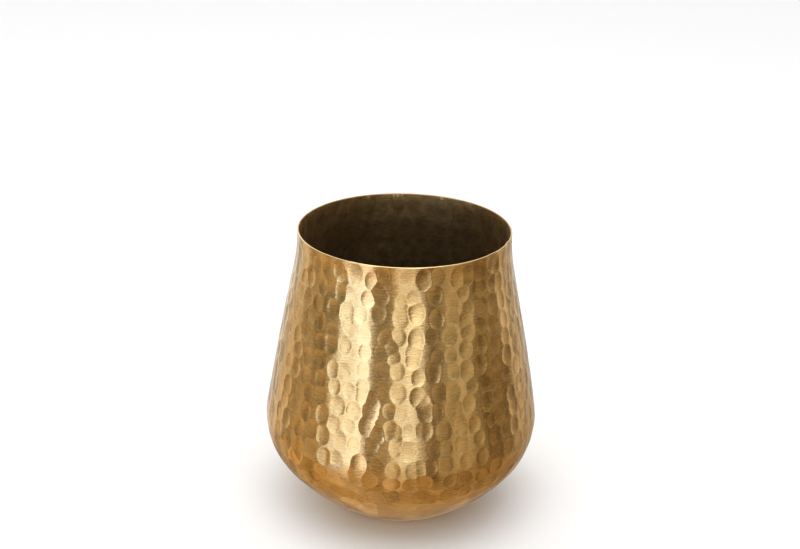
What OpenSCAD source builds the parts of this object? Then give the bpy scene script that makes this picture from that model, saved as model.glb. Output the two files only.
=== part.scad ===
// Hammered brass planter pot with a lift-out inner pot.
// The pot is two spun brass shells, lapped and brazed at the widest line.
// Origin: the centre of the foot pads' plane, +Z up.

/* [Brass pot] */
// Widest outside diameter
belly_d = 170; // [150:1:204]
// Outside diameter of the mouth
mouth_d = 130; // [108:1:138]
// Height of the brass, from its base to its rim
pot_h = 179; // [150:1:215]
// Height of the widest line above the base
belly_h = 55.8; // [50:0.2:67]
// Diameter of the flat on the base
base_d = 81; // [68:1:97]
// Thickness of the brass sheet
sheet_t = 1; // [0.8:0.1:1.6]

/* [Curves of the brass pot] */
// Radius of the turn where the base meets the bowl
base_turn_r = 7; // [4:0.5:10]
// Radius of the bowl under the widest line
bowl_r = 118; // [95:1:150]
// Radius of the turn at the widest line
belly_turn_r = 43; // [35:1:52]
// Radius of the long, almost straight shoulder
shoulder_r = 1590; // [1200:10:2600]
// Radius of the hollow curve under the rim
neck_r = 119; // [80:1:160]
// Height of the upright band at the rim
rim_band_h = 1.4; // [1:0.1:6]

/* [Pushed-up centre of the base] */
// Height of the raised centre
push_up_h = 1.6; // [1:0.1:2]
// Width of the slope round the raised centre
push_up_slope = 5; // [3:0.5:7]
// Distance from the slope to the foot pads
push_up_gap = 1; // [0.5:0.5:2]

/* [Brazed lap at the widest line] */
// Height of the bowl's tongue inside the wall
lap_h = 6; // [4:0.5:8]
// Gap between the two sheets, all through the lap
lap_gap = 0.1; // [0.05:0.05:0.2]
// Height of the braze fillet above the tongue
fillet_h = 1.8; // [1:0.1:3]

/* [Foot pads] */
// Diameter of a rubber pad
pad_d = 13; // [10:1:15]
// Height of a rubber pad
pad_h = 2.2; // [1.6:0.1:3]
// Bevel round a pad's lower edge
pad_bevel = 0.5; // [0.2:0.1:0.8]
// Distance from a pad's edge to the edge of the flat base
pad_inset = 2.5; // [1:0.5:5]

/* [Inner pot] */
// Height of the inner pot
inner_h = 126; // [100:1:140]
// Gap all round between the inner pot's rim and the brass mouth
mouth_clearance = 3.2; // [2:0.1:6]
// Gap all round between the inner pot's foot and the edge of the flat floor
foot_clearance = 1.5; // [0.5:0.1:4]
// Gap under the inner pot's foot
seat_gap = 0.1; // [0.05:0.05:0.3]
// Thickness of the inner pot's wall
inner_t = 1.1; // [0.8:0.1:2]
// Height of the collar at the inner pot's rim
collar_h = 15; // [8:1:22]
// How far the collar stands out from the wall
collar_step = 1.6; // [1:0.1:2.5]
// Overhang of the rolled lip on the collar
lip_w = 1.7; // [1:0.1:2.2]
// Height of the rolled lip
lip_h = 3; // [2:0.5:5]
// Height of the inner pot's floor above its foot
floor_rise = 5; // [4:0.5:9]
// Width of the foot ring
foot_ring_w = 3; // [2:0.5:4]

/* [Drain holes] */
// Number of drain holes round the floor
drain_count = 8; // [4:1:10]
// Diameter of a drain hole
drain_d = 8; // [5:0.5:9]
// Distance from a drain hole to the foot of the ring's slope
drain_inset = 2; // [1:0.5:4]
// Diameter of the drain hole in the middle
centre_drain_d = 10; // [6:0.5:14]
// Number of arches through the foot ring
arch_count = 6; // [3:1:8]
// Width of an arch
arch_w = 8; // [4:0.5:10]
// Height of an arch
arch_h = 3; // [2:0.5:3.5]

/* [Hidden] */

pad_count = 4;
curve_tolerance = 0.02; // furthest that a straight step leaves its arc
round_fn = 96;
cut_over = 1;           // how far a cutter runs past what it cuts
jog_top = 2 * sheet_t;  // depths below the seam between which the bowl's inside steps inwards
jog_foot = 4 * sheet_t;
lip_step = 30;          // angle between the points of the inner pot's rolled lip

brass_colour = "#b9924f";
braze_colour = "#c9a86a";
rubber_colour = "#2b2a29";
plastic_colour = "#34322f";

mouth_r = mouth_d / 2;
base_r = base_d / 2;
pad_ring_r = base_r - pad_inset - pad_d / 2;
slope_r = pad_ring_r - pad_d / 2 - push_up_gap; // outside of the slope in the base
push_up_r = slope_r - push_up_slope;

// One of the two points that lie ra from a and rb from b.
function meet(a, ra, b, rb, side) =
    let (
        span = norm(b - a),
        along = (b - a) / span,
        x = (span * span + ra * ra - rb * rb) / (2 * span),
        h = sqrt(ra * ra - x * x)
    )
    a + along * x + side * h * [-along[1], along[0]];

function heading(v) = atan2(v[1], v[0]);

// Points on an arc without its last one. r sets the place, and shape_r the number of
// steps, so that the two faces of the sheet get matching steps.
function arc(c, r, from, to, shape_r) =
    let (
        step = 2 * acos(1 - curve_tolerance / shape_r),
        n = max(1, ceil(abs(to - from) / step))
    )
    [for (i = [0 : n - 1]) let (a = from + (to - from) * i / n) c + r * [cos(a), sin(a)]];

// The outside is five arcs, each tangent to the next. These are their centres.
base_c = [base_r, base_turn_r];
belly_c = [belly_d / 2 - belly_turn_r, belly_h];
neck_c = [mouth_r + neck_r, pot_h - rim_band_h];
bowl_c = meet(base_c, bowl_r - base_turn_r, belly_c, bowl_r - belly_turn_r, 1);
shoulder_c = meet(belly_c, shoulder_r - belly_turn_r, neck_c, shoulder_r + neck_r, 1);

// Where each arc hands over to the next, as angles round the arc's centre.
base_to_bowl = heading(base_c - bowl_c);
bowl_to_belly = heading(belly_c - bowl_c);
belly_to_shoulder = heading(belly_c - shoulder_c);
shoulder_to_neck = heading(neck_c - shoulder_c);

// The bowl's line from the flat base up to the widest line, inset from the outside.
function bowl_line(inset) = concat(
    arc(base_c, base_turn_r - inset, -90, base_to_bowl, base_turn_r),
    arc(bowl_c, bowl_r - inset, base_to_bowl, bowl_to_belly, bowl_r),
    arc(belly_c, belly_turn_r - inset, bowl_to_belly, 0, belly_turn_r),
    [belly_c + [belly_turn_r - inset, 0]]
);

// The wall's line from an angle on the belly turn up to the rim, inset from the outside.
function wall_line(inset, from) = concat(
    arc(belly_c, belly_turn_r - inset, from, belly_to_shoulder, belly_turn_r),
    arc(shoulder_c, shoulder_r - inset, belly_to_shoulder, shoulder_to_neck, shoulder_r),
    arc(neck_c, neck_r + inset, shoulder_to_neck + 180, 180, neck_r),
    [[mouth_r - inset, pot_h - rim_band_h]]
);

function backwards(line) = [for (i = [len(line) - 1 : -1 : 0]) line[i]];

// Place on the belly turn, inset from the outside, at a height above the widest line.
function on_turn(inset, rise) =
    let (r = belly_turn_r - inset)
    belly_c + r * [cos(asin(rise / r)), rise / r];

module revolve(outline) {
    translate([0, 0, pad_h]) rotate_extrude($fn = round_fn) polygon(outline);
}

// Insets of the tongue's two faces.
tongue_out = sheet_t + lap_gap;
tongue_in = tongue_out + sheet_t;

module upper_wall() {
    seam_edge = asin(lap_gap / belly_turn_r);
    rim_c = [mouth_r - sheet_t / 2, pot_h - sheet_t / 2];
    color(brass_colour) revolve(concat(
        wall_line(0, seam_edge),
        arc(rim_c, sheet_t / 2, 0, 90, sheet_t / 2),
        arc(rim_c, sheet_t / 2, 90, 180, sheet_t / 2),
        [rim_c - [sheet_t / 2, 0]],
        backwards(wall_line(sheet_t, seam_edge))
    ));
}

module lower_bowl() {
    inner_line = [for (p = bowl_line(sheet_t)) if (p[1] < belly_h - jog_foot) p];
    color(brass_colour) revolve(concat(
        [[0, push_up_h], [push_up_r, push_up_h], [slope_r, 0]],
        bowl_line(0),
        [for (rise = [0, lap_h / 2, lap_h]) on_turn(tongue_out, rise)],
        [for (rise = [lap_h, lap_h / 2, 0, -jog_top]) on_turn(tongue_in, rise)],
        [on_turn(sheet_t, -jog_foot)],
        backwards(inner_line),
        [[slope_r, sheet_t], [push_up_r, push_up_h + sheet_t], [0, push_up_h + sheet_t]]
    ));
}

// The braze fillet stands on the tongue's top edge, against the inside of the wall.
module seam_braze() {
    color(braze_colour) revolve([
        on_turn(tongue_in, lap_h),
        on_turn(tongue_out, lap_h),
        on_turn(tongue_out, lap_h + fillet_h)
    ]);
}

module foot_pad(number) {
    turn = 360 * (number - 0.5) / pad_count;
    color(rubber_colour) rotate([0, 0, turn]) translate([pad_ring_r, 0, 0]) {
        cylinder(d1 = pad_d - 2 * pad_bevel, d2 = pad_d, h = pad_bevel, $fn = round_fn);
        translate([0, 0, pad_bevel]) cylinder(d = pad_d, h = pad_h - pad_bevel, $fn = round_fn);
    }
}

inner_lip_r = mouth_r - sheet_t - mouth_clearance;
inner_foot_r = base_r - foot_clearance;
inner_collar_r = inner_lip_r - lip_w;
inner_wall_r = inner_collar_r - collar_step; // outside of the wall just under the collar
collar_z = inner_h - collar_h;
inner_seat_z = sheet_t + seat_gap;
ring_slope_r = inner_foot_r - foot_ring_w - floor_rise / 2; // where the foot ring meets the floor
floor_top = floor_rise + inner_t;
floor_bevel = inner_t; // bevel between the floor and the wall

// Outside radius of the tapered wall at a height above the foot.
function taper_r(z) = inner_foot_r + (inner_wall_r - inner_foot_r) * z / collar_z;

module inner_shell() {
    lip_r = lip_h / 2;
    lip_c = [inner_lip_r - lip_r, inner_h - lip_r];
    shelf_z = collar_z - collar_step; // where the wall steps out to the collar
    bevel_z = floor_top + floor_bevel;
    rotate_extrude($fn = round_fn) polygon(concat(
        [
            [0, floor_rise],
            [ring_slope_r, floor_rise],
            [inner_foot_r - foot_ring_w, 0],
            [inner_foot_r, 0],
            [taper_r(shelf_z), shelf_z],
            [inner_collar_r, collar_z],
            [inner_collar_r, inner_h - lip_h]
        ],
        [for (a = [-2 * lip_step : lip_step : 90]) lip_c + lip_r * [cos(a), sin(a)]],
        [
            [inner_collar_r - inner_t, inner_h],
            [inner_collar_r - inner_t, collar_z + inner_t / 2],
            [taper_r(shelf_z) - inner_t, shelf_z],
            [taper_r(bevel_z) - inner_t, bevel_z],
            [taper_r(floor_top) - inner_t - floor_bevel, floor_top],
            [0, floor_top]
        ]
    ));
}

module inner_pot() {
    drain_ring_r = ring_slope_r - drain_inset - drain_d / 2;
    floor_cut_h = inner_t + 2 * cut_over;
    color(plastic_colour) translate([0, 0, pad_h + inner_seat_z]) difference() {
        inner_shell();
        translate([0, 0, floor_rise - cut_over])
            cylinder(d = centre_drain_d, h = floor_cut_h, $fn = round_fn);
        for (i = [0 : drain_count - 1]) rotate([0, 0, 360 * i / drain_count])
            translate([drain_ring_r, 0, floor_rise - cut_over])
                cylinder(d = drain_d, h = floor_cut_h, $fn = round_fn);
        for (i = [0 : arch_count - 1]) rotate([0, 0, 360 * (i + 0.5) / arch_count])
            translate([inner_foot_r - foot_ring_w - floor_rise, -arch_w / 2, -cut_over])
                cube([foot_ring_w + floor_rise + cut_over, arch_w, arch_h + cut_over]);
    }
}

upper_wall();
lower_bowl();
seam_braze();
inner_pot();
foot_pad(1);  // foot_pad_1
foot_pad(2);  // foot_pad_2
foot_pad(3);  // foot_pad_3
foot_pad(4);  // foot_pad_4
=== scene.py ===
import math

import bmesh
import bpy
import numpy as np
from mathutils import Matrix, Vector


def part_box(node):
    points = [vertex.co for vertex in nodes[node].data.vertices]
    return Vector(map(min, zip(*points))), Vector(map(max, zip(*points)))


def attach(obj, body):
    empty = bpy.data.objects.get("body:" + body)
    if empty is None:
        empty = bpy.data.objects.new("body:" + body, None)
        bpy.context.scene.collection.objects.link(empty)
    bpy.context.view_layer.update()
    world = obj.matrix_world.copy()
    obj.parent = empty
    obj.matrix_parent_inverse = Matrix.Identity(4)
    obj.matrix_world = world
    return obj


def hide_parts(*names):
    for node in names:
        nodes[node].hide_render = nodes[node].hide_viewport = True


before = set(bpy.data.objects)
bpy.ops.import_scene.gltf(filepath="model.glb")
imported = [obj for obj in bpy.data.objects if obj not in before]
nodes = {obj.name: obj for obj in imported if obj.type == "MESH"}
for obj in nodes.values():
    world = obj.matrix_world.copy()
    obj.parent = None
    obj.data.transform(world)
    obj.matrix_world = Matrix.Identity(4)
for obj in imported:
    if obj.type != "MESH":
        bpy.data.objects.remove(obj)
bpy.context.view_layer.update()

MM = 0.001
RNG = np.random.default_rng(12)

# ---------------------------------------------------------------- the pot's section
# The section comes from the CAD solids: rays in one upright plane, through a point on the
# axis at the height of the seam, find their outside and inside.

STEPS = 960                 # columns round the pot, before the mesh is thinned
ROW = 0.6 * MM              # rows up the outside
INSIDE_ROW = 2.4 * MM       # rows up the inside
DOUBLINGS = 4               # a sixteenth of a shell is spun, then doubled this often
KEPT_TRIANGLES = 190000     # in each of the two shells, after thinning
RIM_POINTS = 8              # steps over the round of the rim
RAYS = 900
RAY_START = 0.3             # metres from the axis, outside the pot
OFF_SEAM = math.radians(0.3)
RAY_TURN = math.radians(0.01)   # keeps the rays off the seams of the CAD surfaces
EASE = 60                   # rounds of smoothing
EASE_BOWL_INSIDE = 8        # fewer, because this line has real corners
MERGED = 0.001 * MM         # points nearer than this are one

seam_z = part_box("upper_wall")[0].z
rim_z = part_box("upper_wall")[1].z
belly_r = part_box("upper_wall")[1].x
base_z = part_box("lower_bowl")[0].z
tongue_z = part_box("lower_bowl")[1].z
middle = Vector((0, 0, seam_z))


def ray_hit(node, angle, outside):
    """Radius and height where a ray through the middle meets a CAD node, or None."""
    level = math.cos(angle)
    way = Vector((level * math.cos(RAY_TURN), level * math.sin(RAY_TURN), math.sin(angle)))
    start = middle + way * RAY_START if outside else middle
    hit, place, _, _ = nodes[node].ray_cast(start, -way if outside else way)
    return (math.hypot(place.x, place.y), place.z) if hit else None


def outline(node, low, high, outside):
    """The line of a CAD node's outside or inside from one ray angle to another."""
    hits = [ray_hit(node, a, outside) for a in np.linspace(low, high, RAYS)]
    return np.array([h for h in hits if h])


def eased(line, rounds=EASE):
    """The line with the small flats of the CAD arcs smoothed away, its ends kept."""
    line = line.copy()
    for _ in range(rounds):
        line[1:-1] = (line[:-2] + 2 * line[1:-1] + line[2:]) / 4
    return line


def run_along(line):
    """Distance of each point along a line, from its first."""
    return np.concatenate([[0], np.cumsum(np.hypot(*np.diff(line, axis=0).T))])


def respaced(line, row):
    """The line with its points a row apart."""
    run = run_along(line)
    even = np.linspace(0, run[-1], int(math.ceil(run[-1] / row)) + 1)
    return np.column_stack([np.interp(even, run, line[:, i]) for i in (0, 1)])


sheet_t = belly_r - ray_hit("upper_wall", OFF_SEAM, False)[0]
rim_angle = math.atan2(rim_z - seam_z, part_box("inner_pot")[1].x)
straight_down = -math.pi / 2

bowl_outside = outline("lower_bowl", straight_down, -OFF_SEAM, True)
wall_outside = outline("upper_wall", OFF_SEAM, rim_angle, True)
wall_outside = wall_outside[wall_outside[:, 1] < rim_z - sheet_t / 2]
whole_outside = eased(np.vstack([bowl_outside, [[belly_r, seam_z]], wall_outside]))
at_seam = len(bowl_outside)
bowl_line = respaced(whole_outside[:at_seam + 1], ROW)
wall_line = respaced(whole_outside[at_seam:], ROW)
pot_line = np.vstack([bowl_line, wall_line[1:]])
pot_run = run_along(pot_line)
pot_tangent = np.gradient(pot_line, axis=0)
pot_tangent /= np.hypot(*pot_tangent.T)[:, None]
rim_run = pot_run[-1]


def out_of(run):
    """The outward direction, as radius and height, at a run along the outside."""
    along = np.column_stack([np.interp(run, pot_run, pot_tangent[:, i]) for i in (0, 1)])
    along /= np.hypot(*along.T)[:, None]
    return np.column_stack([along[:, 1], -along[:, 0]])


def nearest_run(line):
    """The run of the outside's point nearest to each point of another line."""
    gap = np.linalg.norm(line[:, None, :] - pot_line[None, :, :], axis=2)
    return pot_run[np.argmin(gap, axis=1)]


# ---------------------------------------------------------------- hammer marks
# Each mark is a shallow dish. Its run and angle say where, and it is taller than it is
# wide on the straight wall, as a domed hammer leaves it.

FIRST_RING = 7.0 * MM       # from the rim to the middle of the first ring
RING_STEP = 11.2 * MM
RIM_PITCH = 9.8 * MM        # from mark to mark round the rim
BELLY_PITCH = 11.1 * MM
LAST_RING_Z = 17 * MM       # above the base
FADE_Z = 40 * MM            # marks get shallower below this height
FRONT = -math.pi / 2
MARK_DEPTH = 0.33 * MM
MARK_POWER = 2.5            # 2 is a round dish, more is flatter in the middle
MARK_SOFTNESS = 0.05 * MM   # rounding of a mark's edge
WALL_MARK = (4.45 * MM, 5.9 * MM)   # half width and half height
BOWL_MARK = (5.2 * MM, 5.0 * MM)
EXTRA_SHARE = 0.10          # second blows, at random
BLOW_TILT = 0.12            # spread of the hammer's tilt, as a share of the mark's depth
RING_DRIFT = 0.13           # how far each ring slips round from the last, in pitches
PLACE_JITTER = 0.24         # of a mark along its ring, in pitches
RING_JITTER = 1.3 * MM      # of a mark off its ring
SIZES = (0.86, 1.16)
TALLNESSES = (0.92, 1.1)
DEPTHS = (0.75, 1.2)
SHALLOWEST = 0.35           # share of the depth left in the lowest ring
WALL_FADE = 12 * MM         # over this height the bowl's marks turn into the wall's
MARK_REACH = 1.3            # a tilted mark ends within this many half widths
MAP_STEP = 0.3 * MM         # from row to row of the map of depths
MAP_COLUMNS = 1800          # round the pot
MAP_TURN = 2 * math.pi / MAP_COLUMNS
WAVES = 6                   # long shallow waves over the whole sheet
WAVE_DEPTH = 0.05 * MM
WAVE_LOBES = (4, 13)        # each goes round the pot in so many lobes
WAVE_LENGTHS = (45, 130)    # millimetres up the wall
BASE_CALM = 30 * MM         # the waves fade out over this run at the base
RIM_CALM = 25 * MM


def hammer_marks():
    """All marks, each a row of run, angle, half width, half height, depth and two tilts."""
    marks = []
    drift = 0
    run = rim_run - FIRST_RING
    while True:
        radius, z = (np.interp(run, pot_run, pot_line[:, i]) for i in (0, 1))
        height = z - base_z
        if height < LAST_RING_Z or run < 0:
            return np.array(marks)
        up_wall = np.clip((z - seam_z) / (rim_z - seam_z), 0, 1)
        pitch = BELLY_PITCH + (RIM_PITCH - BELLY_PITCH) * up_wall
        count = round(2 * math.pi * radius / pitch)
        on_wall = np.clip((z - seam_z) / WALL_FADE + 0.5, 0, 1)
        half_w = BOWL_MARK[0] + (WALL_MARK[0] - BOWL_MARK[0]) * on_wall
        half_h = BOWL_MARK[1] + (WALL_MARK[1] - BOWL_MARK[1]) * on_wall
        fade = np.clip(height / FADE_Z, SHALLOWEST, 1)
        drift += RNG.normal(0, RING_DRIFT)
        for k in range(count + int(count * EXTRA_SHARE)):
            extra = k >= count
            jitter = RNG.uniform(0, count) if extra else RNG.uniform(-PLACE_JITTER, PLACE_JITTER)
            place = jitter if extra else k + drift + jitter
            size = RNG.uniform(*SIZES)
            up = RNG.uniform(-0.5, 0.5) * RING_STEP if extra else RNG.normal(0, RING_JITTER)
            marks.append([
                run + up,
                FRONT + 2 * math.pi * place / count,
                half_w * size,
                half_h * size * RNG.uniform(*TALLNESSES),
                MARK_DEPTH * fade * size * size * RNG.uniform(*DEPTHS),
                RNG.normal(0, BLOW_TILT),
                RNG.normal(0, BLOW_TILT),
            ])
        run -= RING_STEP


def soft_max(a, b, soft):
    """The larger of two depths, with the edge between them rounded."""
    near = np.maximum(soft - np.abs(a - b), 0) / soft
    return np.maximum(a, b) + near * near * soft / 4


def press(depth, mark):
    """Presses one mark into the map of depths."""
    mark_run, mark_angle, half_w, half_h, deepest, tilt_up, tilt_across = mark
    radius = np.interp(mark_run, pot_run, pot_line[:, 0])
    tall = int(MARK_REACH * half_h / MAP_STEP)
    wide = int(MARK_REACH * half_w / radius / MAP_TURN)
    row, column = round(mark_run / MAP_STEP), round(mark_angle / MAP_TURN)
    rows = np.arange(max(row - tall, 0), min(row + tall + 1, len(depth)))
    columns = np.arange(column - wide, column + wide + 1)
    up = (rows * MAP_STEP - mark_run)[:, None] / half_h
    across = (columns * MAP_TURN - mark_angle)[None, :] * radius / half_w
    dish = 1 - np.hypot(up, across) ** MARK_POWER + tilt_up * up + tilt_across * across
    where = np.ix_(rows, columns % MAP_COLUMNS)
    depth[where] = soft_max(depth[where], deepest * dish, MARK_SOFTNESS)


def waves():
    """The long, shallow waves that hand work leaves in the sheet, none at rim and base."""
    run = np.arange(int(rim_run / MAP_STEP) + 2)[:, None] * MAP_STEP
    turn = np.arange(MAP_COLUMNS)[None, :] * MAP_TURN
    height = np.zeros((run.shape[0], MAP_COLUMNS))
    for _ in range(WAVES):
        lobes = RNG.integers(*WAVE_LOBES)
        length = RNG.uniform(*WAVE_LENGTHS) * MM
        phase = RNG.uniform(0, 2 * math.pi)
        height += np.sin(lobes * turn + 2 * math.pi * run / length + phase)
    ends = np.clip(run / BASE_CALM, 0, 1) * np.clip((rim_run - run) / RIM_CALM, 0, 1)
    return WAVE_DEPTH * height * ends


relief = np.zeros((int(rim_run / MAP_STEP) + 2, MAP_COLUMNS))
for hammer_mark in hammer_marks():
    press(relief, hammer_mark)
relief += waves()
relief_up = np.gradient(relief, MAP_STEP, axis=0)
relief_round = (np.roll(relief, -1, axis=1) - np.roll(relief, 1, axis=1)) / (2 * MAP_TURN)


def on_map(field, run, angle):
    """The value of a map at each run and angle, blended between its four neighbours."""
    row = np.clip(run / MAP_STEP, 0, len(field) - 1.001)
    column = (angle % (2 * math.pi)) / MAP_TURN
    r, c = row.astype(int), column.astype(int)
    up, across = row - r, column - c
    c, after = c % MAP_COLUMNS, (c + 1) % MAP_COLUMNS
    low = field[r, c] * (1 - across) + field[r, after] * across
    high = field[r + 1, c] * (1 - across) + field[r + 1, after] * across
    return low * (1 - up) + high * up


# ---------------------------------------------------------------- meshes

SMALLEST_R = 1 * MM         # stands in for the radius of a point on the axis
PLAIN_R = 2 * MM            # nearer the axis than this, a mesh keeps its own normals
ON_OUTSIDE = 0.99           # after thinning, an outside point still has this much of its 1
LOOKS_IN = -0.2             # cosine between a face's normal and the way out of the pot


def read(items, key, width=1, kind=np.float32):
    """A value, or a row of values, for each item of a mesh."""
    values = np.zeros(len(items) * width, kind)
    items.foreach_get(key, values)
    return values.reshape(-1, width) if width > 1 else values


def put_in_order(bm):
    """Sorts the edges and faces, which a spin leaves in another order each run."""
    bm.verts.index_update()
    count = len(bm.verts)

    def rank(part):
        ends = [corner.index for corner in part.verts]
        return min(ends) * count + max(ends)

    bm.edges.sort(key=rank)
    bm.faces.sort(key=rank)


def spun(name, line, runs, outside_points, closed):
    """A mesh spun from a section line, which starts with its outside points.

    Each point keeps its run along the outside, and 1 if it is an outside point.
    """
    bm = bmesh.new()
    run_layer = bm.verts.layers.float.new("run")
    outside_layer = bm.verts.layers.float.new("outside")
    ring = []
    for number, ((radius, z), run) in enumerate(zip(line, runs)):
        corner = bm.verts.new((max(radius, 0), 0, z))
        corner[run_layer] = run
        corner[outside_layer] = number < outside_points
        ring.append(corner)
    pairs = list(zip(ring, ring[1:])) + ([(ring[-1], ring[0])] if closed else [])
    edges = [bm.edges.new(pair) for pair in pairs]
    turn = 2 * math.pi / 2 ** DOUBLINGS
    bmesh.ops.spin(
        bm, geom=ring + edges, angle=turn, steps=STEPS // 2 ** DOUBLINGS,
        axis=(0, 0, 1), cent=(0, 0, 0),
    )
    put_in_order(bm)
    for doubling in range(DOUBLINGS):
        copy = bmesh.ops.duplicate(bm, geom=bm.verts[:] + bm.edges[:] + bm.faces[:])
        corners = [part for part in copy["geom"] if isinstance(part, bmesh.types.BMVert)]
        turned = Matrix.Rotation(turn * 2 ** doubling, 3, "Z")
        bmesh.ops.rotate(bm, verts=corners, cent=(0, 0, 0), matrix=turned)
    bmesh.ops.remove_doubles(bm, verts=bm.verts, dist=MERGED)
    bmesh.ops.recalc_face_normals(bm, faces=bm.faces)
    for face in bm.faces:
        face.smooth = True
    mesh = bpy.data.meshes.new(name)
    bm.to_mesh(mesh)
    bm.free()
    ends = read(mesh.edges, "vertices", 2, np.int32)    # low to high, so thinning repeats
    mesh.edges.foreach_set("vertices", np.sort(ends, axis=1).ravel())
    piece = bpy.data.objects.new(name, mesh)
    bpy.context.scene.collection.objects.link(piece)
    return piece


def values_of(piece, name):
    """A float attribute of a piece, one value for each vertex."""
    return read(piece.data.attributes[name].data, "value")


def in_polar(piece):
    """Each vertex's run, angle and place."""
    co = read(piece.data.vertices, "co", 3).astype(float)
    return values_of(piece, "run").astype(float), np.arctan2(co[:, 1], co[:, 0]), co


def hammered(piece):
    """Presses the hammer marks into a spun piece, through both faces of its sheet."""
    run, angle, co = in_polar(piece)
    depth = on_map(relief, run, angle)
    out = out_of(run)
    radius = np.hypot(co[:, 0], co[:, 1]) - depth * out[:, 0]
    co[:, 0], co[:, 1] = radius * np.cos(angle), radius * np.sin(angle)
    co[:, 2] -= depth * out[:, 1]
    piece.data.vertices.foreach_set("co", co.ravel())
    piece.data.update()


def thinned(piece):
    """Takes triangles out where the sheet is smooth, so the marks' edges keep theirs."""
    piece.data.calc_loop_triangles()
    thin = piece.modifiers.new("thin", "DECIMATE")
    thin.ratio = KEPT_TRIANGLES / len(piece.data.loop_triangles)
    bpy.context.view_layer.update()
    whole = piece.evaluated_get(bpy.context.evaluated_depsgraph_get())
    piece.data = bpy.data.meshes.new_from_object(whole)
    piece.modifiers.clear()


def shaded(piece):
    """Sets the outside's normals from the map, and the depth of the marks for the brass."""
    run, angle, co = in_polar(piece)
    out = out_of(run)
    up = on_map(relief_up, run, angle)
    radius = np.maximum(np.hypot(co[:, 0], co[:, 1]), SMALLEST_R)
    side = on_map(relief_round, run, angle) / radius
    level = out[:, 0] - up * out[:, 1]
    normal = np.column_stack([
        level * np.cos(angle) - side * np.sin(angle),
        level * np.sin(angle) + side * np.cos(angle),
        out[:, 1] + up * out[:, 0],
    ])
    normal /= np.linalg.norm(normal, axis=1)[:, None]
    plain = (values_of(piece, "outside") < ON_OUTSIDE) | (radius < PLAIN_R)
    normal[plain] = 0
    piece.data.normals_split_custom_set_from_vertices(normal.tolist())
    dent = piece.data.attributes.new("dent", "FLOAT", "POINT")
    depth = on_map(relief, run, angle) / MARK_DEPTH
    dent.data.foreach_set("value", depth.astype(np.float32))


def make_wall():
    """The upper wall: outside up, round the rim, inside down."""
    inside = outline("upper_wall", OFF_SEAM, rim_angle, False)
    inside = inside[inside[:, 1] < rim_z - sheet_t / 2]
    inside = eased(np.vstack([[[belly_r - sheet_t, seam_z]], inside]))
    inside = respaced(inside, INSIDE_ROW)[::-1]
    rim_r = (wall_line[-1, 0] + inside[0, 0]) / 2
    turns = np.linspace(0, math.pi, RIM_POINTS + 1)[1:-1]
    rim = [
        (rim_r + sheet_t / 2 * math.cos(a), rim_z - sheet_t / 2 + sheet_t / 2 * math.sin(a))
        for a in turns
    ]
    line = np.vstack([wall_line, rim, inside])
    runs = np.concatenate([
        pot_run[len(bowl_line) - 1:],
        np.full(len(rim), rim_run),
        nearest_run(inside),
    ])
    return spun("upper_wall_hammered", line, runs, len(wall_line), closed=True)


def make_bowl():
    """The bowl: outside from the middle of its base up, over the tongue, inside down."""
    tongue_angle = math.atan2(tongue_z - seam_z, belly_r - 2 * sheet_t)
    inside = outline("lower_bowl", straight_down, tongue_angle - OFF_SEAM, False)
    inside = respaced(eased(inside, EASE_BOWL_INSIDE), INSIDE_ROW)[::-1]
    tongue_top = [(inside[0, 0], tongue_z), (inside[0, 0] + sheet_t, tongue_z)]
    tongue_foot = inside[np.argmin(np.abs(inside[:, 1] - seam_z)), 0] + sheet_t
    line = np.vstack([bowl_line, [(tongue_foot, seam_z)], tongue_top[::-1], inside])
    line[0, 0] = line[-1, 0] = 0
    runs = np.concatenate([pot_run[:len(bowl_line)], nearest_run(line[len(bowl_line):])])
    return spun("lower_bowl_hammered", line, runs, len(bowl_line), closed=False)


def inward_faces(piece):
    """Whether each face of a spun sheet looks towards the inside of the pot."""
    faces = piece.data.polygons
    normal, centre = read(faces, "normal", 3), read(faces, "center", 3)
    vertex = read(piece.data.loops, "vertex_index", kind=np.int32)
    first_vertex = vertex[read(faces, "loop_start", kind=np.int32)]
    out = out_of(values_of(piece, "run")[first_vertex])
    radius = np.maximum(np.hypot(centre[:, 0], centre[:, 1]), SMALLEST_R)
    level = (normal[:, 0] * centre[:, 0] + normal[:, 1] * centre[:, 1]) / radius
    return level * out[:, 0] + normal[:, 2] * out[:, 1] < LOOKS_IN


# ---------------------------------------------------------------- materials

WANDER_SCALE = 60.0             # how often a stroke's height wanders, in each metre
STROKE_NOISE = (0.3, 0.7)       # the noise's own range, which the strokes spread over
STROKE_PATINA_AND_GLINT_TONES = (0.88, 1.09)     # they darken the brass this much, as patina held in the scratches, and lighten it, as a painted glint on them
STROKE_HEIGHT = 0.2 * MM
SHINE_TURN = 0.25               # turns the long way of the shine across the level strokes
DEEP = 0.9                      # share of MARK_DEPTH at which the wear is full
WORN = 0.6                      # how far a mark's middle goes to the darker brass
GRAIN_HEIGHT = 0.2 * MM
GRAIN_STRENGTH = 0.25
DUST_ROUGHNESS = 0.15           # dust makes plastic and rubber so much rougher


def new_material(name):
    """A new material, its node tree and its shader."""
    material = bpy.data.materials.new(name)
    material.use_nodes = True
    return material, material.node_tree, material.node_tree.nodes["Principled BSDF"]


def feed(tree, node, inputs):
    """Sets a node's inputs; a value that is a socket is linked."""
    for key, value in inputs.items():
        if isinstance(value, bpy.types.NodeSocket):
            tree.links.new(value, node.inputs[key])
        else:
            node.inputs[key].default_value = value


def add(tree, kind, inputs=None, **settings):
    """A new node with its inputs and settings."""
    made = tree.nodes.new(kind)
    for key, value in settings.items():
        setattr(made, key, value)
    feed(tree, made, inputs or {})
    return made


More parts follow.
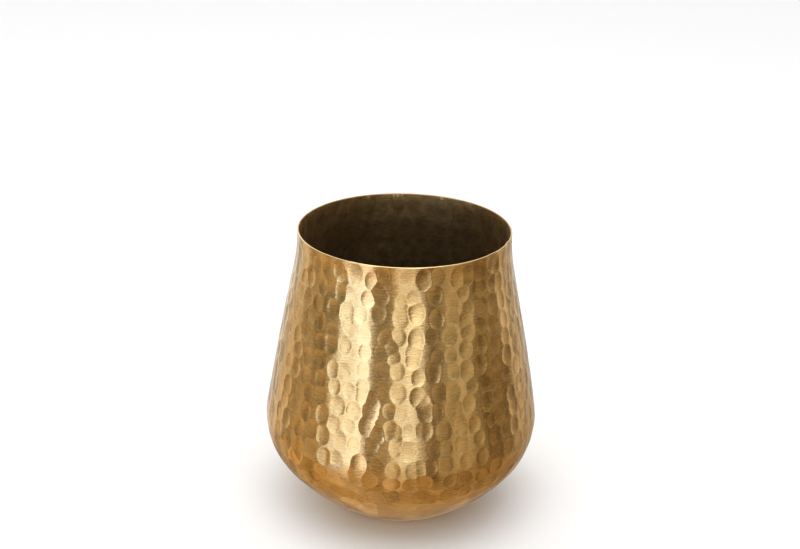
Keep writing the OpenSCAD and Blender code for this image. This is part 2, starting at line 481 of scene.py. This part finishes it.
def make_group(name, inputs, outputs):
    """A node group with float inputs, each name: default, and its own in and out nodes."""
    group = bpy.data.node_groups.new(name, "ShaderNodeTree")
    for key, value in inputs.items():
        socket = group.interface.new_socket(key, in_out="INPUT", socket_type="NodeSocketFloat")
        socket.default_value = value
    for key in outputs:
        group.interface.new_socket(key, in_out="OUTPUT", socket_type="NodeSocketFloat")
    return group, group.nodes.new("NodeGroupInput"), group.nodes.new("NodeGroupOutput")


def maths(tree, operation, *values):
    """What a Math node makes of numbers and sockets."""
    return add(tree, "ShaderNodeMath", dict(enumerate(values)), operation=operation).outputs[0]


def ranged(tree, value, low, high, to_low=0.0, to_high=1.0, **settings):
    """A value carried from one range to another, and held inside it."""
    limits = {"From Min": low, "From Max": high, "To Min": to_low, "To Max": to_high}
    made = add(tree, "ShaderNodeMapRange", {"Value": value, **limits}, **settings)
    return made.outputs["Result"]


def blended(tree, factor, below, above, **settings):
    """A mix of two colours, each a colour or a socket."""
    inputs = {"Factor": factor, "A": below, "B": above}
    return add(tree, "ShaderNodeMix", inputs, data_type="RGBA", **settings).outputs["Result"]


def noise(tree, place, scale, detail, roughness=0.5):
    """A noise from 0 to 1 at a place."""
    inputs = {"Vector": place, "Scale": scale, "Detail": detail, "Roughness": roughness}
    return add(tree, "ShaderNodeTexNoise", inputs).outputs["Fac"]


def brush_group():
    """Fine, nearly level strokes of a scouring pad, from 0 to 1."""
    inputs = {"Lines per metre": 1100.0, "Strokes per metre": 260.0, "Wander": 0.002}
    group, into, out = make_group("brush_lines", inputs, ["Lines"])
    place = add(group, "ShaderNodeTexCoord").outputs["Object"]
    x, y, z = add(group, "ShaderNodeSeparateXYZ", {0: place}).outputs
    wander = noise(group, place, WANDER_SCALE, detail=1.0)
    level = maths(group, "MULTIPLY_ADD", wander, into.outputs["Wander"], z)
    strokes = {
        "X": maths(group, "MULTIPLY", x, into.outputs["Strokes per metre"]),
        "Y": maths(group, "MULTIPLY", y, into.outputs["Strokes per metre"]),
        "Z": maths(group, "MULTIPLY", level, into.outputs["Lines per metre"]),
    }
    stretched = add(group, "ShaderNodeCombineXYZ", strokes).outputs[0]
    lines = noise(group, stretched, scale=1.0, detail=3.0, roughness=0.6)
    group.links.new(lines, out.inputs["Lines"])
    return group


def cloud_group():
    """Soft blotches, from 0 to 1, as polish and handling leave on a surface."""
    inputs = {"Scale": 30.0, "Low": 0.35, "High": 0.7}
    group, into, out = make_group("clouds", inputs, ["Mask"])
    place = add(group, "ShaderNodeTexCoord").outputs["Object"]
    cloud = noise(group, place, into.outputs["Scale"], detail=4.0, roughness=0.6)
    mask = ranged(group, cloud, into.outputs["Low"], into.outputs["High"])
    group.links.new(mask, out.inputs["Mask"])
    return group


BRUSH = brush_group()
CLOUDS = cloud_group()


def placed_group(tree, group, **values):
    """The output of a group placed in a tree, with its own values."""
    made = tree.nodes.new("ShaderNodeGroup")
    made.node_tree = group
    for key, value in values.items():
        made.inputs[key].default_value = value
    return made.outputs[0]


def bumped(tree, height, strength, distance):
    """The normal of a surface with a relief on it."""
    inputs = {"Height": height, "Strength": strength, "Distance": distance}
    return add(tree, "ShaderNodeBump", inputs).outputs["Normal"]


def brass(name, light, dark, roughness, spread, anisotropy, line_bump):
    """Brass with brush strokes, soft blotches, and brighter ridges between the hammer marks."""
    material, tree, shader = new_material(name)
    tangent = add(tree, "ShaderNodeTangent", direction_type="RADIAL", axis="Z")
    strokes = placed_group(tree, BRUSH)
    clouds = placed_group(tree, CLOUDS, Scale=28.0, Low=0.35, High=0.72)
    dent = add(tree, "ShaderNodeAttribute", attribute_name="dent").outputs["Fac"]
    worn = ranged(tree, dent, 0.0, DEEP, 0.0, WORN)
    shade = add(tree, "ShaderNodeMath", {0: clouds, 1: worn}, operation="ADD", use_clamp=True)
    colour = blended(tree, shade.outputs[0], light, dark)
    # partly painted glint: the strokes lighten the brass as if they caught the light, and darken it
    # as patina held in the scratches
    stroke_patina_and_glint = ranged(tree, strokes, *STROKE_NOISE, *STROKE_PATINA_AND_GLINT_TONES)
    feed(tree, shader, {
        "Metallic": 1.0,
        "Anisotropic": anisotropy,
        "Anisotropic Rotation": SHINE_TURN,
        "Tangent": tangent.outputs[0],
        "Base Color": blended(tree, 1.0, colour, stroke_patina_and_glint, blend_type="MULTIPLY"),
        "Roughness": ranged(tree, strokes, *STROKE_NOISE, roughness - spread, roughness + spread),
        "Normal": bumped(tree, strokes, line_bump, STROKE_HEIGHT),
    })
    return material


def plastic(name, colour, dusty, roughness, grain):
    """Moulded plastic or rubber with a fine grain and dusty patches."""
    material, tree, shader = new_material(name)
    clouds = placed_group(tree, CLOUDS, Scale=45.0, Low=0.4, High=0.75)
    place = add(tree, "ShaderNodeTexCoord").outputs["Object"]
    grains = noise(tree, place, grain, detail=3.0)
    feed(tree, shader, {
        "Base Color": blended(tree, clouds, colour, dusty),
        "Roughness": ranged(tree, clouds, 0.0, 1.0, roughness, roughness + DUST_ROUGHNESS),
        "Normal": bumped(tree, grains, GRAIN_STRENGTH, GRAIN_HEIGHT),
    })
    return material


BRASS_LIGHT = (0.86, 0.63, 0.31, 1)
BRASS_DARK = (0.77, 0.53, 0.23, 1)
INSIDE_LIGHT = (0.62, 0.42, 0.20, 1)
INSIDE_DARK = (0.44, 0.29, 0.13, 1)
BRAZE_LIGHT = (0.86, 0.68, 0.40, 1)
BRAZE_DARK = (0.60, 0.42, 0.20, 1)
PLASTIC = (0.018, 0.016, 0.014, 1)
PLASTIC_DUSTY = (0.035, 0.030, 0.026, 1)
RUBBER = (0.012, 0.012, 0.012, 1)
RUBBER_DUSTY = (0.030, 0.028, 0.026, 1)

outside_brass = brass(
    "hammered_brass", BRASS_LIGHT, BRASS_DARK,
    roughness=0.14, spread=0.05, anisotropy=0.3, line_bump=0.5,
)
inside_brass = brass(
    "inside_brass", INSIDE_LIGHT, INSIDE_DARK,
    roughness=0.42, spread=0.06, anisotropy=0.3, line_bump=0.5,
)
braze_brass = brass(
    "braze_brass", BRAZE_LIGHT, BRAZE_DARK,
    roughness=0.38, spread=0.05, anisotropy=0.0, line_bump=0.2,
)
grow_plastic = plastic("grow_pot_plastic", PLASTIC, PLASTIC_DUSTY, roughness=0.5, grain=1800)
pad_rubber = plastic("pad_rubber", RUBBER, RUBBER_DUSTY, roughness=0.65, grain=2500)


def finish_with(piece, *materials):
    """Gives a piece these materials in place of its own."""
    piece.data.materials.clear()
    for material in materials:
        piece.data.materials.append(material)


# ---------------------------------------------------------------- the pieces


def make_pot():
    """The wall and the bowl, hammered, each with its outside and inside brass."""
    for piece, node in ((make_wall(), "upper_wall"), (make_bowl(), "lower_bowl")):
        hammered(piece)
        thinned(piece)
        shaded(piece)
        finish_with(piece, outside_brass, inside_brass)
        piece.data.polygons.foreach_set("material_index", inward_faces(piece).astype(np.int32))
        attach(piece, "brass_pot")
        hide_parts(node)


make_pot()
finish_with(nodes["seam_braze"], braze_brass)
finish_with(nodes["inner_pot"], grow_plastic)
for number in (1, 2, 3, 4):
    finish_with(nodes[f"foot_pad_{number}"], pad_rubber)

# ---------------------------------------------------------------- camera, floor and light

CAMERA_AIM = Vector((-0.0023, 0, base_z + 0.1485))
CAMERA_AWAY = 0.9
CAMERA_TILT = math.radians(22.16)   # above level
CAMERA_ROLL = math.radians(1.21)
LENS = 66.1                         # millimetres
SENSOR = 36                         # its width, millimetres
FLOOR_REACH = 6                     # from its middle to each side
FLOOR_GREY = (0.88, 0.88, 0.88, 1)
FLOOR_ROUGHNESS = 0.8
LAMP_LEFT = math.radians(10)        # from the camera's side of the pot
LAMP_UP = math.radians(80)
LAMP_AWAY = 1.5
LAMP_OVER = Vector((0, 0, 0.1))     # the place that it points to
LAMP_SIDE = 1.6
LAMP_RADIANCE = 1.5


def make_camera():
    """The camera, which looks a little down on the pot and is rolled a little."""
    data = bpy.data.cameras.new("camera")
    data.lens = LENS
    data.sensor_width = SENSOR
    camera = bpy.data.objects.new("camera", data)
    bpy.context.scene.collection.objects.link(camera)
    back = Vector((0, -math.cos(CAMERA_TILT), math.sin(CAMERA_TILT)))
    right = Vector((1, 0, 0))
    up = back.cross(right)
    turned = Matrix.Rotation(CAMERA_ROLL, 3, back)
    columns = [turned @ v for v in (right, up, back)]
    camera.matrix_world = Matrix.Translation(CAMERA_AIM + back * CAMERA_AWAY) @ Matrix(
        [[c[i] for c in columns] for i in range(3)]
    ).to_4x4()
    bpy.context.scene.camera = camera


def make_floor():
    """A pale floor, which the brass doesn't mirror."""
    bm = bmesh.new()
    bmesh.ops.create_grid(bm, x_segments=1, y_segments=1, size=FLOOR_REACH)
    mesh = bpy.data.meshes.new("floor")
    bm.to_mesh(mesh)
    bm.free()
    floor = bpy.data.objects.new("floor", mesh)
    bpy.context.scene.collection.objects.link(floor)
    material, tree, shader = new_material("floor")
    feed(tree, shader, {"Base Color": FLOOR_GREY, "Roughness": FLOOR_ROUGHNESS})
    finish_with(floor, material)
    floor.visible_glossy = False


# What stands round the pot: degrees left of the camera's side, and how bright it is.
SURROUND = [
    (-180, (0.95, 0.97, 1.03)),
    (-160, (0.96, 0.98, 1.03)),
    (-150, (0.56, 0.53, 0.51)),
    (-120, (0.58, 0.52, 0.45)),
    (-105, (0.25, 0.20, 0.15)),
    (-88, (0.20, 0.15, 0.09)),
    (-75, (0.28, 0.23, 0.15)),
    (-50, (0.49, 0.43, 0.32)),
    (-38, (0.40, 0.34, 0.25)),
    (-31, (0.17, 0.14, 0.10)),
    (-22, (0.20, 0.16, 0.12)),
    (-14, (1.12, 1.15, 1.20)),
    (-2, (1.05, 1.08, 1.12)),
    (3, (0.80, 0.80, 0.80)),
    (8, (0.30, 0.26, 0.20)),
    (26, (0.25, 0.21, 0.16)),
    (33, (1.20, 1.36, 1.68)),
    (44, (1.26, 1.44, 1.80)),
    (47, (0.85, 0.86, 0.88)),
    (50, (1.20, 1.36, 1.68)),
    (57, (1.12, 1.26, 1.52)),
    (64, (0.35, 0.31, 0.24)),
    (85, (0.23, 0.20, 0.16)),
    (105, (0.39, 0.35, 0.28)),
    (120, (0.67, 0.62, 0.55)),
    (135, (1.05, 1.03, 1.03)),
    (150, (1.28, 1.28, 1.32)),
    (180, (0.95, 0.97, 1.03)),
]
WINDOW_LEAN = math.radians(10)  # the windows lean left towards their feet
TABLE_LEFT = (0.52, 0.325, 0.14)
TABLE_RIGHT = (0.26, 0.158, 0.068)
TABLE_BEHIND = (0.19, 0.12, 0.055)
TABLE_SHADE = (0.5, 0.9)        # how far behind the table gets as dark as that
TABLE_SINES = (0.15, -0.75)     # sines of the slopes between which the room turns to table
TABLE_SHARE = 0.92              # the rest is what stands round the pot, mirrored in the table
BACKDROP = (0.75, 0.76, 0.80)   # a pale patch low down behind the pot
BACKDROP_WAY = (0, 0.93, -0.30)
BACKDROP_COSINES = (0.80, 0.97)     # to BACKDROP_WAY, from its soft edge to its full light
BACKDROP_SINES = (-0.40, -0.26)     # it fades out below this slope
CEILING = (1.1, 1.1, 1.1)
CEILING_SINES = (0.35, 0.75)
CLUTTER = (0.40, 1.90)          # the things in the room darken or lighten it this much
CLUTTER_SCALE = 6.0
CLUTTER_NOISE = (0.36, 0.64)    # the part of the noise's range that this spreads over
SEEN_WHITE = (0.95, 0.95, 0.95, 1)


def surround_of(tree, around_once):
    """The colour of what stands round the pot, from where it is: 0 behind, 0.5 in front."""
    ramp = add(tree, "ShaderNodeValToRGB", {"Fac": around_once})
    stops = ramp.color_ramp.elements
    stops[0].position, stops[1].position = 0, 1
    for _ in SURROUND[2:]:
        stops.new(0.5)
    for stop, (left, colour) in zip(stops, SURROUND):
        stop.position = left / 360 + 0.5
        stop.color = (*colour, 1)
    return ramp.outputs["Color"]


def make_world():
    """White to the camera, and to all else a room with windows, a timber table and a ceiling."""
    world = bpy.data.worlds.new("studio")
    bpy.context.scene.world = world
    world.use_nodes = True
    tree = world.node_tree
    tree.nodes.clear()
    way = add(tree, "ShaderNodeTexCoord").outputs["Generated"]
    x, y, z = add(tree, "ShaderNodeSeparateXYZ", {0: way}).outputs

    def eased_in(value, low, high):
        return ranged(tree, value, low, high, interpolation_type="SMOOTHSTEP")

    to_left = maths(tree, "MULTIPLY", x, -1.0)
    to_front = maths(tree, "MULTIPLY", y, -1.0)
    leaning = maths(tree, "MULTIPLY_ADD", z, WINDOW_LEAN, maths(tree, "ARCTAN2", to_left, to_front))
    around_once = maths(tree, "MULTIPLY_ADD", leaning, 0.5 / math.pi, 0.5)
    light = surround_of(tree, around_once)
    table = blended(tree, eased_in(x, -1.0, 1.0), (*TABLE_LEFT, 1), (*TABLE_RIGHT, 1))
    table = blended(tree, eased_in(y, *TABLE_SHADE), table, (*TABLE_BEHIND, 1))
    below = maths(tree, "MULTIPLY", eased_in(z, *TABLE_SINES), TABLE_SHARE)
    light = blended(tree, below, light, table)
    things = noise(tree, way, CLUTTER_SCALE, detail=3.0, roughness=0.6)
    clutter = ranged(tree, things, *CLUTTER_NOISE, *CLUTTER)
    light = add(
        tree, "ShaderNodeVectorMath", {0: light, "Scale": clutter}, operation="SCALE",
    ).outputs["Vector"]
    light = blended(tree, eased_in(z, *CEILING_SINES), light, (*CEILING, 1))
    behind = add(
        tree, "ShaderNodeVectorMath", {0: way, 1: BACKDROP_WAY}, operation="DOT_PRODUCT",
    ).outputs["Value"]
    backdrop = maths(
        tree, "MULTIPLY", eased_in(behind, *BACKDROP_COSINES), eased_in(z, *BACKDROP_SINES),
    )
    light = blended(tree, backdrop, light, (*BACKDROP, 1))
    path = add(tree, "ShaderNodeLightPath")
    around = add(tree, "ShaderNodeBackground", {"Color": light})
    seen = add(tree, "ShaderNodeBackground", {"Color": SEEN_WHITE})
    both = {0: path.outputs["Is Camera Ray"], 1: around.outputs[0], 2: seen.outputs[0]}
    mixed = add(tree, "ShaderNodeMixShader", both)
    out = add(tree, "ShaderNodeOutputWorld")
    tree.links.new(mixed.outputs[0], out.inputs["Surface"])


def make_lamp():
    """A large square lamp, almost straight above the pot."""
    data = bpy.data.lights.new("top", "AREA")
    data.shape = "SQUARE"
    data.size = LAMP_SIDE
    data.energy = LAMP_RADIANCE * math.pi * LAMP_SIDE ** 2
    lamp = bpy.data.objects.new("top", data)
    bpy.context.scene.collection.objects.link(lamp)
    level = math.cos(LAMP_UP)
    left, front = math.sin(LAMP_LEFT) * level, math.cos(LAMP_LEFT) * level
    way = Vector((-left, -front, math.sin(LAMP_UP)))
    lamp.location = LAMP_OVER + way * LAMP_AWAY
    lamp.rotation_mode = "QUATERNION"
    lamp.rotation_quaternion = way.to_track_quat("Z", "Y")


make_camera()
make_floor()
make_world()
make_lamp()
bpy.context.scene.view_settings.view_transform = "Standard"
